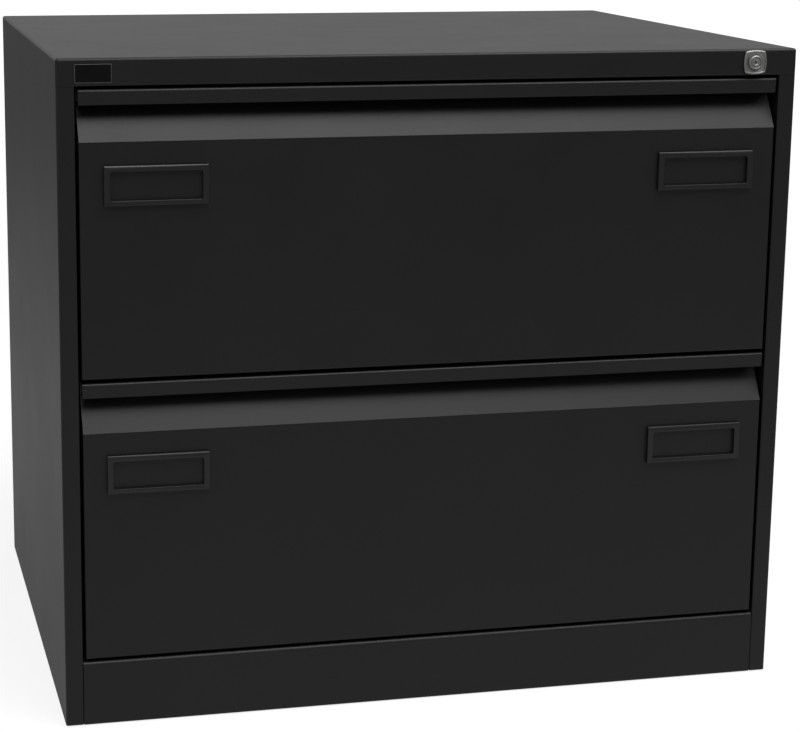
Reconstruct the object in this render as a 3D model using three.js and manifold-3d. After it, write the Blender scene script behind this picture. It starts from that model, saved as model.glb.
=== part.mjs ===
// A two-drawer, double-width steel filing cabinet: a folded sheet carcass, two drawers for side-by-side
// suspension files on ball slides, a lipped finger pull across each front, and a lock in the top rail.
// Millimetres, +Z up, front towards -Y. The origin lies on the floor under the middle of the cabinet.

import * as THREE from 'three';
import { mergeVertices } from 'three/addons/utils/BufferGeometryUtils.js';
import Module from 'manifold-3d';

const wasm = await Module();
wasm.setup();

// Overall size of the closed cabinet, without the rim of the lock
const WIDTH = 800;
const DEPTH = 622;
const HEIGHT = 711;

// Sheet and folds
const CARCASS_SHEET = 1.0;
const FOLD_RADIUS = 3.0;
const BEND_RADIUS = 1.6;
const FRONT_SHEET = 1.0;
const DRAWER_SHEET = 0.8;
const POST_SHEET = 1.2;
const FIT = 0.3;
const TOOL_OVERRUN = 1;
const BEND_STEPS = 3;
const CORNER_STEPS = 4;

// Carcass
const UPRIGHT_WIDTH = 19;
const UPRIGHT_DEPTH = 22;
const FASCIA_HEIGHT = 28.5;
const FASCIA_RETURN = 16;
const PLINTH_TOP = 72;
const PLINTH_RETURN = 18;
const PLINTH_CORNER = 5;
const PLINTH_FLOOR_GAP = 0.8;
const SIDE_FLOOR_GAP = 2;
const REAR_FLANGE = 20;
const SEAM_INSET = 4;
const SEAT_FLANGE = 24;
const BASE_HEIGHT = 14;
const BASE_FLANGE = 22;

// Posts inside the side walls that carry the slides
const POST_WIDTH = 30;
const FRONT_POST_SETBACK = 45;
const REAR_POST_SETBACK = 82;
const POST_HEAD_ROOM = 11;
const POST_SLOT_HEIGHT = 12;
const POST_SLOT_WIDTH = 5;
const POST_SLOT_PITCH = 50;

// Levelling feet
const FOOT_INSET_X = 60;
const FOOT_INSET_Y = 62;
const FOOT_PAD_RADIUS = 16;
const FOOT_PAD_HEIGHT = 6;
const FOOT_PAD_EDGE = 1;
const FOOT_PAD_TAPER = 3;
const FOOT_PAD_DROP = 2;
const FOOT_COLLAR_RADIUS = 8;
const FOOT_STEM_RADIUS = 4;
const FOOT_STEM_TOP = 34;
const FOOT_STEM_EDGE = 1;
const FOOT_SIDES = 12;

// Drawer fronts and their finger pulls
const REVEAL = 3;
const DRAWER_GAP = 4;
const FRONT_CORNER = 2;
const LIP_HEIGHT = 16.5;
const LIP_HEM = 4;
const PULL_DEPTH = 24;
const PULL_HEIGHT = 54;
const PULL_SLOPE = THREE.MathUtils.degToRad(31);

// Drawer boxes and hanging rails for the files
const BOX_RAISE = 12;
const RAIL_DROP = 33;
const BOX_BACK_SPACE = 40;
const SIDE_FLANGE = 12;
const RAIL_FLANGE = 26.6;
const RAIL_LIP = 8;
const CENTRE_RAIL_WIDTH = 22;
const INNER_FRONT_FLANGE = 12;
const INNER_FRONT_DROP = 4;
const BEAD_COUNT = 4;
const BEAD_WIDTH = 26;
const BEAD_HEIGHT = 3;

// Label holders
const LABEL_WIDTH = 108;
const LABEL_HEIGHT = 41;
const LABEL_SIDE_BAR = 6;
const LABEL_TOP_BAR = 6;
const LABEL_BOTTOM_BAR = 5;
const LABEL_THICKNESS = 4.2;
const LABEL_CHAMFER = 1.2;
const LABEL_CARD_SLOT = 1.2;
const LABEL_CARD_MARGIN = 2.5;
const LABEL_INSET = 25;
const LABEL_DROP = 98;

// Ball slides, measured from the cabinet wall (across) and from the middle of the slide (up)
const SLIDE_THICKNESS = 12.7;
const SLIDE_HEIGHT = 45;
const SLIDE_SHEET = 1.2;
const SLIDE_FRONT_SETBACK = 45;
const SLIDE_BACK_SPACE = 37;
const SLIDE_RAISE = 75;
const SLIDE_TRAVEL = 520;
const OUTER_BALL = 1.7;
const INNER_BALL = 1.3;
const BALL_CLEARANCE = 0.3;
const CAGE_SHEET = 0.6;
const CABINET_RAIL_REACH = 8.4;
const MIDDLE_RAIL_REACH = 10.8;
const DRAWER_RAIL_REACH = 7;
const OUTER_CAGE_REACH = 7.6;
const INNER_CAGE_REACH = 10;
const BALLS_IN_ROW = 5;

// Lock and locking bar
const LOCK_INSET = 48.5;
const LOCK_PROJECTION = 4.6;
const LOCK_RIM_SIZE = 26.2;
const LOCK_RIM_SQUARENESS = 4.5;
const LOCK_RIM_POINTS = 36;
const LOCK_RIM_THICKNESS = 3;
const LOCK_COLLAR_RADIUS = 7.4;
const LOCK_BARREL_RADIUS = 9.5;
const CAM_SPACE = 5;
const LOCK_NUT_RADIUS = 11.4;
const LOCK_NUT_THICKNESS = 3;
const LOCK_PLUG_RADIUS = 5.25;
const LOCK_PLUG_RECESS = 0.6;
const LOCK_TAIL = 5;
const KEYHOLE_HEIGHT = 6.4;
const KEYHOLE_WIDTH = 1.7;
const KEYHOLE_DEPTH = 8;
const CAM_THICKNESS = 2.2;
const CAM_RADIUS = 6;
const CAM_PIN_RADIUS = 2;
const CAM_PIN_END = 1;
const CAM_REST_ANGLE = THREE.MathUtils.degToRad(-45);
const LOCK_SIDES = 24;
const BAR_SPACE = 4;
const BAR_THICKNESS = 2.5;
const BAR_WIDTH = 11;
const BAR_WALL_SPACE = 2;
const BAR_SLOT_CLEARANCE = 0.6;
const TAB_HEIGHT = 8;
const TAB_CLEARANCE = 1.5;
const TAB_END_SPACE = 4;
const LUG_DROP = 120;
const LUG_HEIGHT = 12;
const LUG_SHEET = 2;
const LUG_PLATE = 26;
const LUG_REACH_SPACE = 1;
const LUG_SPACE = 1.5;
const GUIDE_HEIGHT = 14;
const GUIDE_DROP = 250;
const GUIDE_SHEET = 1;
const GUIDE_HOOK = 6;
const GUIDE_BEND = 1;

// Places that several pieces share
const HALF = WIDTH / 2;
const OPENING_HALF = HALF - UPRIGHT_WIDTH;
const FRONT_HALF = OPENING_HALF - REVEAL;
const FASCIA_BOTTOM = HEIGHT - FASCIA_HEIGHT;
const WALL_INSIDE = HALF - CARCASS_SHEET;
const BACK_INSIDE = DEPTH - 2 * CARCASS_SHEET - FIT;
const BASE_TOP = BASE_HEIGHT + CARCASS_SHEET;
const FRONT_HEIGHT = (FASCIA_BOTTOM - PLINTH_TOP - 2 * REVEAL - DRAWER_GAP) / 2;
const POST_FACE = OPENING_HALF + FIT;
const SLIDE_LENGTH = DEPTH - SLIDE_FRONT_SETBACK - SLIDE_BACK_SPACE;
const SLIDE_END = SLIDE_FRONT_SETBACK + SLIDE_LENGTH;
const BOX_HALF = OPENING_HALF - SLIDE_THICKNESS - FIT;
const FRONT_RETURN = PULL_DEPTH + FRONT_SHEET;
const BOX_FRONT = FRONT_RETURN + FIT;
const BOX_INSIDE_FRONT = BOX_FRONT + DRAWER_SHEET;
const BOX_BACK = DEPTH - BOX_BACK_SPACE;
const LOCK_X = HALF - LOCK_INSET;
const LOCK_Z = HEIGHT - FASCIA_HEIGHT / 2;
const LOWER_BOTTOM = PLINTH_TOP + REVEAL;
const UPPER_BOTTOM = LOWER_BOTTOM + FRONT_HEIGHT + DRAWER_GAP;
const BAR_SETBACK = FRONT_RETURN + BAR_SPACE;
const LOCK_BARREL_END = BAR_SETBACK - CAM_SPACE;
const LUG_SETBACK = BAR_SETBACK + BAR_THICKNESS + LUG_SPACE;
const BAR_RIGHT = WALL_INSIDE - BAR_WALL_SPACE;
const BAR_LEFT = BAR_RIGHT - BAR_WIDTH;
const BAR_REST = LOCK_Z + CAM_RADIUS * Math.sin(CAM_REST_ANGLE);

const finish = (color, roughness, metalness) => ({ color, roughness, metalness });
const POWDER_COAT = finish(0x202020, 0.5, 0.0);
const DRAWER_STEEL = finish(0x232323, 0.5, 0.0);
const ZINC = finish(0xb4b7ba, 0.4, 1.0);
const NICKEL = finish(0xc8c8c6, 0.25, 1.0);
const MOULDED_BLACK = finish(0x1b1b1b, 0.45, 0.0);

const cabinet = new THREE.Group();
cabinet.position.y = (LOCK_PROJECTION - DEPTH) / 2;

// A closed solid from a geometry, with its shared corners merged
function solidOf(geometry) {
  geometry.deleteAttribute('normal');
  geometry.deleteAttribute('uv');
  const merged = mergeVertices(geometry, 1e-4);
  const vertProperties = new Float32Array(merged.attributes.position.array);
  const triVerts = new Uint32Array(merged.index.array);
  return new wasm.Manifold(new wasm.Mesh({ numProp: 3, vertProperties, triVerts }));
}

function geometryOf(solid) {
  const { vertProperties, triVerts } = solid.getMesh();
  const geometry = new THREE.BufferGeometry();
  geometry.setAttribute('position', new THREE.BufferAttribute(vertProperties, 3));
  geometry.setIndex(new THREE.BufferAttribute(triVerts, 1));
  const flat = geometry.toNonIndexed();
  flat.computeVertexNormals();
  return flat;
}

function addPiece(name, solid, look) {
  const piece = new THREE.Mesh(geometryOf(solid), new THREE.MeshStandardMaterial(look));
  piece.name = name;
  cabinet.add(piece);
}

function union(solids) {
  return solids.reduce((whole, solid) => whole.add(solid));
}

function block([x0, x1], [y0, y1], [z0, z1]) {
  const geometry = new THREE.BoxGeometry(x1 - x0, y1 - y0, z1 - z0);
  geometry.translate((x0 + x1) / 2, (y0 + y1) / 2, (z0 + z1) / 2);
  return solidOf(geometry);
}

// An outline pulled along one axis. Outlines are (y, z) along x, (x, z) along y and (x, y) along z.
function prism(axis, outline, from, to) {
  const shape = new THREE.Shape(outline.map(([a, b]) => new THREE.Vector2(a, b)));
  const geometry = new THREE.ExtrudeGeometry(shape, { depth: to - from, bevelEnabled: false });
  if (axis === 'z') {
    geometry.translate(0, 0, from);
  } else if (axis === 'y') {
    geometry.rotateX(Math.PI / 2);
    geometry.translate(0, to, 0);
  } else {
    geometry.applyMatrix4(new THREE.Matrix4().set(0, 0, 1, from, 1, 0, 0, 0, 0, 1, 0, 0, 0, 0, 0, 1));
  }
  return solidOf(geometry);
}

// A turned piece: (radius, height) pairs from axis to axis, standing at a point along z or along y
function turned(profile, [x, y, z], axis, sides) {
  const points = profile.map(([radius, height]) => new THREE.Vector2(radius, height));
  const geometry = new THREE.LatheGeometry(points, sides);
  if (axis === 'z') {
    geometry.rotateX(Math.PI / 2);
  }
  geometry.translate(x, y, z);
  return solidOf(geometry);
}

function rod(radius, [x, z], [y0, y1], sides) {
  return turned([[0, y0], [radius, y0], [radius, y1], [0, y1]], [x, 0, z], 'y', sides);
}

function roundedRectangle([x0, x1], [y0, y1], radius, steps = CORNER_STEPS) {
  const corners = [[x1 - radius, y1 - radius], [x0 + radius, y1 - radius],
    [x0 + radius, y0 + radius], [x1 - radius, y0 + radius]];
  return corners.flatMap(([cx, cy], quarter) => Array.from({ length: steps + 1 }, (_, step) => {
    const angle = (quarter + step / steps) * Math.PI / 2;
    return [cx + radius * Math.cos(angle), cy + radius * Math.sin(angle)];
  }));
}

// The outline of a folded strip: its middle line, with a round bend at each corner, grown to both faces
function foldedStrip(corners, thickness, bend, steps = BEND_STEPS) {
  const points = corners.map(([a, b]) => new THREE.Vector2(a, b));
  const stations = [];
  const place = (point, direction) => {
    const normal = new THREE.Vector2(-direction.y, direction.x);
    stations.push({ point, normal });
  };
  const heading = (i) => points[i + 1].clone().sub(points[i]).normalize();
  place(points[0], heading(0));
  for (let i = 1; i < points.length - 1; i += 1) {
    const before = heading(i - 1);
    const after = heading(i);
    const turn = Math.atan2(before.cross(after), before.dot(after));
    const cut = bend * Math.tan(Math.abs(turn) / 2);
    const side = Math.sign(turn);
    const start = points[i].clone().addScaledVector(before, -cut);
    const centre = start.clone().add(new THREE.Vector2(-before.y, before.x).multiplyScalar(side * bend));
    for (let step = 0; step <= steps; step += 1) {
      const angle = turn * step / steps;
      const point = start.clone().rotateAround(centre, angle);
      place(point, before.clone().rotateAround(new THREE.Vector2(), angle));
    }
  }
  place(points[points.length - 1], heading(points.length - 2));
  const face = (offset) => stations.map(({ point, normal }) => {
    const moved = point.clone().addScaledVector(normal, offset);
    return [moved.x, moved.y];
  });
  return [...face(thickness / 2), ...face(-thickness / 2).reverse()];
}

const mirrored = (solid) => solid.mirror([1, 0, 0]);
const onSide = (solid, side) => (side > 0 ? solid : mirrored(solid));
const SIDES = [['left', -1], ['right', 1]];

// Carcass skin: a box with rounded vertical and upper edges, less the same box one sheet smaller
function envelope(inset) {
  const across = [inset - HALF, HALF - inset];
  const along = [inset, DEPTH - inset];
  const top = HEIGHT - inset;
  const bottom = inset > 0 ? 0 : SIDE_FLOOR_GAP;
  const radius = FOLD_RADIUS - inset;
  const up = [bottom - 2 * FOLD_RADIUS, top];
  return prism('z', roundedRectangle(across, along, radius), bottom, top)
    .intersect(prism('y', roundedRectangle(across, up, radius), along[0], along[1]))
    .intersect(prism('x', roundedRectangle(along, up, radius), across[0], across[1]));
}

const skin = envelope(0).subtract(envelope(CARCASS_SHEET));

// The top sheet turns down at the front into the full-width fascia, which turns back under itself
function topPanel() {
  const seam = HALF - SEAM_INSET;
  const above = HEIGHT - FOLD_RADIUS;
  const foldStart = FASCIA_BOTTOM + 3 * BEND_RADIUS;
  const half = CARCASS_SHEET / 2;
  const flangeHalf = HALF - REAR_FLANGE - FIT;
  const fascia = block([-HALF, HALF], [0, FOLD_RADIUS], [foldStart, HEIGHT]);
  const sheet = block([-seam, seam], [0, DEPTH], [above, HEIGHT]);
  const rearFlange = block(
    [-flangeHalf, flangeHalf], [DEPTH - FOLD_RADIUS, DEPTH], [HEIGHT - REAR_FLANGE, HEIGHT]);
  const foldTop = foldStart + TOOL_OVERRUN;
  const lowerFold = foldedStrip(
    [[half, foldTop], [half, FASCIA_BOTTOM + half], [FASCIA_RETURN, FASCIA_BOTTOM + half]],
    CARCASS_SHEET, BEND_RADIUS);
  const foldHalf = OPENING_HALF - FIT;
  const cornerStrip = block([-HALF, HALF], [0, FOLD_RADIUS], [FASCIA_BOTTOM, foldTop]);
  const corners = skin.intersect(cornerStrip).subtract(
    block([-foldHalf, foldHalf], [-TOOL_OVERRUN, FOLD_RADIUS + TOOL_OVERRUN],
      [FASCIA_BOTTOM - TOOL_OVERRUN, HEIGHT]));
  const hole = rod(LOCK_BARREL_RADIUS + FIT, [LOCK_X, LOCK_Z], [-TOOL_OVERRUN, FOLD_RADIUS], LOCK_SIDES);
  return skin.intersect(union([fascia, sheet, rearFlange]))
    .add(corners)
    .add(prism('x', lowerFold, -foldHalf, foldHalf))
    .subtract(hole);
}

// A side wall with its box-shaped front upright, rear flange and a sunk flange that the top sheet lies on
function sidePanel() {
  const seam = HALF - SEAM_INSET + FIT;
  const behindFascia = FOLD_RADIUS + FIT;
  const half = CARCASS_SHEET / 2;
  const upright = OPENING_HALF + half;
  const uprightTop = FASCIA_BOTTOM - FIT;
  const wall = block([seam, HALF], [behindFascia, DEPTH], [0, HEIGHT]);
  const rearFlange = block(
    [HALF - REAR_FLANGE, HALF], [DEPTH - FOLD_RADIUS, DEPTH], [0, HEIGHT - FOLD_RADIUS - FIT]);
  const middle = HALF - UPRIGHT_WIDTH / 2;
  const frontCorner = block([middle, HALF], [0, behindFascia], [0, uprightTop]);
  const uprightFold = foldedStrip(
    [[middle + TOOL_OVERRUN, half], [upright, half], [upright, UPRIGHT_DEPTH]], CARCASS_SHEET, BEND_RADIUS);
  const seatTop = HEIGHT - CARCASS_SHEET - FIT;
  const seatEnds = [behindFascia, DEPTH - FOLD_RADIUS - CARCASS_SHEET];
  const step = block([seam, seam + CARCASS_SHEET], seatEnds, [seatTop - CARCASS_SHEET, HEIGHT - half]);
  const seat = block([seam - SEAT_FLANGE, seam + half], seatEnds, [seatTop - CARCASS_SHEET, seatTop]);
  return skin.intersect(union([wall, frontCorner, rearFlange]))
    .add(prism('z', uprightFold, SIDE_FLOOR_GAP, uprightTop))
    .add(step)
    .add(seat);
}

// The plinth closes the foot of the front, with a rounded fold along its top and clipped lower corners
function plinth() {
  const half = CARCASS_SHEET / 2;
  const reach = OPENING_HALF - FIT;
  const low = PLINTH_FLOOR_GAP + half;
  const high = PLINTH_TOP - half;
  const section = foldedStrip(
    [[PLINTH_RETURN, low], [half, low], [half, high], [PLINTH_RETURN, high]],
    CARCASS_SHEET, FOLD_RADIUS - half);
  const outline = roundedRectangle(
    [-reach, reach], [PLINTH_FLOOR_GAP, PLINTH_TOP + 2 * PLINTH_CORNER], PLINTH_CORNER);
  return prism('x', section, -reach, reach)
    .intersect(prism('y', outline, -TOOL_OVERRUN, PLINTH_RETURN + TOOL_OVERRUN));
}

function footPlaces() {
  const x = HALF - FOOT_INSET_X;
  return [['front', FOOT_INSET_Y], ['rear', DEPTH - FOOT_INSET_Y]].flatMap(([end, y]) => (
    SIDES.map(([side, sign]) => ({ name: `${end}_${side}_foot`, x: sign * x, y }))));
}

// The base sheet is turned up along its front and rear edges and pierced for the stems of the feet
function basePanel() {
  const half = CARCASS_SHEET / 2;
  const front = UPRIGHT_DEPTH + FIT + half;
  const rear = BACK_INSIDE - FIT - half;
  const level = BASE_HEIGHT + half;
  const edge = BASE_HEIGHT + BASE_FLANGE;
  const reach = WALL_INSIDE - FIT;
  const section = foldedStrip(
    [[front, edge], [front, level], [rear, level], [rear, edge]], CARCASS_SHEET, BEND_RADIUS);
  const hole = FOOT_STEM_RADIUS + 2 * FIT;
  const holes = footPlaces().map(({ x, y }) => turned(
    [[0, 0], [hole, 0], [hole, FOOT_STEM_TOP], [0, FOOT_STEM_TOP]], [x, y, 0], 'z', FOOT_SIDES));
  return prism('x', section, -reach, reach).subtract(union(holes));
}

// The back lies against the inside of the rear flanges, clear of the round corners
function backPanel() {
  const reach = HALF - FOLD_RADIUS - FIT;
  const top = HEIGHT - 2 * CARCASS_SHEET - 2 * FIT;
  return block([-reach, reach], [BACK_INSIDE, BACK_INSIDE + CARCASS_SHEET], [SIDE_FLOOR_GAP, top]);
}

// A channel with its web towards the drawers, pierced with a row of slots for the slides
function post(front) {
  const half = POST_SHEET / 2;
  const web = POST_FACE + half;
  const edge = WALL_INSIDE - FIT;
  const near = front + half;
  const far = front + POST_WIDTH - half;
  const bottom = BASE_TOP + FIT;
  const top = HEIGHT - POST_HEAD_ROOM;
  const section = foldedStrip(
    [[edge, near], [web, near], [web, far], [edge, far]], POST_SHEET, BEND_RADIUS);
  const middle = front + POST_WIDTH / 2;
  const slots = [];
  for (let z = bottom + POST_SLOT_PITCH; z < top - POST_SLOT_HEIGHT; z += POST_SLOT_PITCH) {
    slots.push(block([POST_FACE - TOOL_OVERRUN, POST_FACE + POST_SHEET + TOOL_OVERRUN],
      [middle - POST_SLOT_WIDTH / 2, middle + POST_SLOT_WIDTH / 2], [z, z + POST_SLOT_HEIGHT]));
  }
  return prism('z', section, bottom, top).subtract(union(slots));
}

addPiece('top_panel', topPanel(), POWDER_COAT);
addPiece('back_panel', backPanel(), POWDER_COAT);
addPiece('base_panel', basePanel(), POWDER_COAT);
addPiece('plinth', plinth(), POWDER_COAT);
SIDES.forEach(([side, sign]) => {
  addPiece(`${side}_side_panel`, onSide(sidePanel(), sign), POWDER_COAT);
  addPiece(`front_${side}_post`, onSide(post(FRONT_POST_SETBACK), sign), POWDER_COAT);
  addPiece(`rear_${side}_post`, onSide(post(DEPTH - REAR_POST_SETBACK), sign), POWDER_COAT);
});

// Levelling feet: a pad, a collar under the base sheet and a stem through it
footPlaces().forEach(({ name, x, y }) => {
  const collarTop = BASE_HEIGHT - FIT;
  const profile = [
    [0, 0], [FOOT_PAD_RADIUS - FOOT_PAD_EDGE, 0], [FOOT_PAD_RADIUS, FOOT_PAD_EDGE],
    [FOOT_PAD_RADIUS, FOOT_PAD_HEIGHT - FOOT_PAD_DROP], [FOOT_PAD_RADIUS - FOOT_PAD_TAPER, FOOT_PAD_HEIGHT],
    [FOOT_COLLAR_RADIUS, FOOT_PAD_HEIGHT], [FOOT_COLLAR_RADIUS, collarTop], [FOOT_STEM_RADIUS, collarTop],
    [FOOT_STEM_RADIUS, FOOT_STEM_TOP - FOOT_STEM_EDGE], [FOOT_STEM_RADIUS - FOOT_STEM_EDGE, FOOT_STEM_TOP],
    [0, FOOT_STEM_TOP],
  ];
  addPiece(name, turned(profile, [x, y, 0], 'z', FOOT_SIDES), MOULDED_BLACK);
});

// Lock: a rim with four bulging sides, a collar, and a barrel held by a nut behind the fascia
function lockBody() {
  const outline = Array.from({ length: LOCK_RIM_POINTS }, (_, point) => {
    const angle = point / LOCK_RIM_POINTS * 2 * Math.PI;
    const [x, z] = [Math.cos(angle), Math.sin(angle)];
    const reach = (Math.abs(x) ** LOCK_RIM_SQUARENESS + Math.abs(z) ** LOCK_RIM_SQUARENESS)
      ** (-1 / LOCK_RIM_SQUARENESS) * LOCK_RIM_SIZE / 2;
    return [LOCK_X + reach * x, LOCK_Z + reach * z];
  });
  const centre = [LOCK_X, LOCK_Z];
  const nutFront = CARCASS_SHEET + FIT;
  const solids = [
    prism('y', outline, -LOCK_RIM_THICKNESS, -FIT),
    rod(LOCK_COLLAR_RADIUS, centre, [-LOCK_PROJECTION, 0], LOCK_SIDES),
    rod(LOCK_BARREL_RADIUS, centre, [-LOCK_RIM_THICKNESS / 2, LOCK_BARREL_END], LOCK_SIDES),
    rod(LOCK_NUT_RADIUS, centre, [nutFront, nutFront + LOCK_NUT_THICKNESS], 6),
  ];
  const bore = rod(LOCK_PLUG_RADIUS + FIT, centre,
    [-LOCK_PROJECTION - TOOL_OVERRUN, LOCK_BARREL_END + TOOL_OVERRUN], LOCK_SIDES);
  return union(solids).subtract(bore);
}

// The plug turns in the barrel, and its square tail carries the cam
function lockPlug() {
  const centre = [LOCK_X, LOCK_Z];
  const face = LOCK_PLUG_RECESS - LOCK_PROJECTION;
  const shoulder = LOCK_BARREL_END + FIT;
  const tailEnd = BAR_SETBACK - FIT;
  const around = (middle, size) => [middle - size / 2, middle + size / 2];
  const tail = block(
    around(LOCK_X, LOCK_TAIL), [shoulder - TOOL_OVERRUN, tailEnd], around(LOCK_Z, LOCK_TAIL));
  const cutDepth = [face - TOOL_OVERRUN, face + KEYHOLE_DEPTH];
  const keyhole = block(around(LOCK_X, KEYHOLE_WIDTH), cutDepth, around(LOCK_Z, KEYHOLE_HEIGHT));
  return rod(LOCK_PLUG_RADIUS, centre, [face, shoulder], LOCK_SIDES).add(tail).subtract(keyhole);
}

const CAM_PIN_X = LOCK_X + CAM_RADIUS * Math.cos(CAM_REST_ANGLE);

// The cam fits the plug's tail and carries a pin off its axis, which lifts the bar as the key turns
function lockCam() {
  const front = LOCK_BARREL_END + 2 * FIT;
  const back = front + CAM_THICKNESS;
  const radius = CAM_RADIUS + CAM_PIN_RADIUS;
  const hole = LOCK_TAIL / 2 + FIT;
  const pinEnd = BAR_SETBACK + BAR_THICKNESS + CAM_PIN_END;
  const cutDepth = [front - TOOL_OVERRUN, back + TOOL_OVERRUN];
  return rod(radius, [LOCK_X, LOCK_Z], [front, back], LOCK_SIDES)
    .subtract(block([LOCK_X - hole, LOCK_X + hole], cutDepth, [LOCK_Z - hole, LOCK_Z + hole]))
    .add(rod(CAM_PIN_RADIUS, [CAM_PIN_X, BAR_REST], [front + FIT, pinEnd], LOCK_SIDES / 2));
}

function lugCentre(frontBottom) {
  return frontBottom + FRONT_HEIGHT - LUG_DROP;
}

// One flat bar in the right upright: a slotted arm to the cam, a strip down, and a tab for each drawer
function lockBar() {
  const along = [BAR_SETBACK, BAR_SETBACK + BAR_THICKNESS];
  const armTop = BAR_REST + BAR_WIDTH / 2;
  const armBottom = BAR_REST - BAR_WIDTH / 2;
  const tabTop = (frontBottom) => lugCentre(frontBottom) - LUG_HEIGHT / 2 - TAB_CLEARANCE;
  const tabLeft = BOX_HALF + TAB_END_SPACE;
  const stripBottom = tabTop(LOWER_BOTTOM) - TAB_HEIGHT;
  const slotHalf = CAM_PIN_RADIUS + BAR_SLOT_CLEARANCE;
  const slotLeft = CAM_PIN_X - slotHalf;
  const slotRight = LOCK_X + CAM_RADIUS + slotHalf;
  const slotUp = [BAR_REST - slotHalf, BAR_REST + slotHalf];
  const slot = roundedRectangle([slotLeft, slotRight], slotUp, CAM_PIN_RADIUS);
  const tabs = [LOWER_BOTTOM, UPPER_BOTTOM].map((bottom) => block(
    [tabLeft, BAR_RIGHT], along, [tabTop(bottom) - TAB_HEIGHT, tabTop(bottom)]));
  return union([
    block([slotLeft - CAM_PIN_RADIUS, BAR_RIGHT], along, [armBottom, armTop]),
    block([BAR_LEFT, BAR_RIGHT], along, [stripBottom, armTop]),
    ...tabs,
  ]).subtract(prism('y', slot, along[0] - TOOL_OVERRUN, along[1] + TOOL_OVERRUN));
}

// A hook on the front right post keeps the bar in line
function lockBarGuide() {
  const half = GUIDE_SHEET / 2;
  const seat = FRONT_POST_SETBACK - FIT - half;
  const lip = BAR_SETBACK - FIT - half;
  const leg = BAR_LEFT - FIT - half;
  const section = foldedStrip(
    [[BAR_RIGHT, seat], [leg, seat], [leg, lip], [leg + GUIDE_HOOK, lip]], GUIDE_SHEET, GUIDE_BEND);
  const top = HEIGHT - GUIDE_DROP;
  return prism('z', section, top - GUIDE_HEIGHT, top);
}

addPiece('lock_body', lockBody(), NICKEL);
addPiece('lock_plug', lockPlug(), NICKEL);
addPiece('lock_cam', lockCam(), ZINC);
addPiece('lock_bar', lockBar(), ZINC);
addPiece('lock_bar_guide', lockBarGuide(), ZINC);

// A drawer front: lip, finger pocket, slope back out to the flat face, and returns behind its edges
function drawerFront(bottom) {
  const half = FRONT_SHEET / 2;
  const top = bottom + FRONT_HEIGHT;
  const pocket = PULL_DEPTH + half;
  const slopeFoot = top - PULL_HEIGHT;
  const slopeHead = slopeFoot + PULL_DEPTH / Math.tan(PULL_SLOPE);
  const section = foldedStrip([
    [LIP_HEM, top - LIP_HEIGHT + half],
    [half, top - LIP_HEIGHT + half],
    [half, top - half],
    [pocket, top - half],
    [pocket, slopeHead],
    [half, slopeFoot],
    [half, bottom + half],
    [FRONT_RETURN - FRONT_CORNER, bottom + half],
  ], FRONT_SHEET, BEND_RADIUS);
  const returnTop = slopeFoot - BEND_RADIUS;
  const edge = FRONT_HALF - FRONT_CORNER;
  const corner = roundedRectangle([-FRONT_HALF, FRONT_HALF], [0, 2 * DEPTH], FRONT_CORNER)
    .filter(([x, y]) => x >= edge && y <= FRONT_CORNER);
  const beside = FRONT_HALF + TOOL_OVERRUN;
  const before = -TOOL_OVERRUN;
  const waste = prism('z', [...corner, [beside, FRONT_CORNER], [beside, before], [edge, before]],
    bottom - TOOL_OVERRUN, top + TOOL_OVERRUN);
  const returns = SIDES.map(([, sign]) => onSide(block(
    [FRONT_HALF - FRONT_SHEET, FRONT_HALF], [half / 2, FRONT_RETURN], [bottom + half, returnTop]), sign));
  return union([prism('x', section, -FRONT_HALF, FRONT_HALF), ...returns])
    .subtract(waste)
    .subtract(mirrored(waste));
}

function boxLevels(bottom) {
  return { floor: bottom + BOX_RAISE, rail: bottom + FRONT_HEIGHT - RAIL_DROP };
}

// The inner front closes the box and rises behind the pocket of the pull, which is welded to it
function drawerInnerFront(bottom) {
  const { floor } = boxLevels(bottom);
  const middle = BOX_FRONT + DRAWER_SHEET / 2;
  const back = middle + INNER_FRONT_FLANGE;
  const top = bottom + FRONT_HEIGHT - INNER_FRONT_DROP;
  const section = foldedStrip([[middle, floor], [middle, top], [back, top]], DRAWER_SHEET, BEND_RADIUS);
  return prism('x', section, -BOX_HALF, BOX_HALF);
}

// A box side: bottom flange, wall, and a top flange whose upturned lip carries the file hooks
function drawerSide(bottom) {
  const { floor, rail } = boxLevels(bottom);
  const half = DRAWER_SHEET / 2;
  const wall = BOX_HALF - half;
  const lip = BOX_HALF - RAIL_FLANGE;
  const section = foldedStrip([
    [wall - SIDE_FLANGE, floor + half],
    [wall, floor + half],
    [wall, rail],
    [lip, rail],
    [lip, rail + RAIL_LIP],
  ], DRAWER_SHEET, BEND_RADIUS);
  return prism('y', section, BOX_INSIDE_FRONT + FIT, BOX_BACK);
}

// The box floor is one sheet with raised beads from front to back
function drawerBottom(bottom) {
  const { floor } = boxLevels(bottom);
  const level = floor + DRAWER_SHEET + FIT + DRAWER_SHEET / 2;
  const reach = BOX_HALF - DRAWER_SHEET - FIT - BEND_RADIUS;
  const spacing = 2 * reach / BEAD_COUNT;
  const beads = Array.from({ length: BEAD_COUNT }, (_, i) => {
    const centre = -reach + spacing * (i + 0.5);
    const foot = BEAD_WIDTH / 2;
    const crown = foot - BEAD_HEIGHT;
    return [[centre - foot, level], [centre - crown, level + BEAD_HEIGHT],
      [centre + crown, level + BEAD_HEIGHT], [centre + foot, level]];
  }).flat();
  const section = foldedStrip([[-reach, level], ...beads, [reach, level]], DRAWER_SHEET, BEND_RADIUS, 1);
  return prism('y', section, BOX_INSIDE_FRONT + FIT, BOX_BACK - DRAWER_SHEET - FIT);
}

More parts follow.
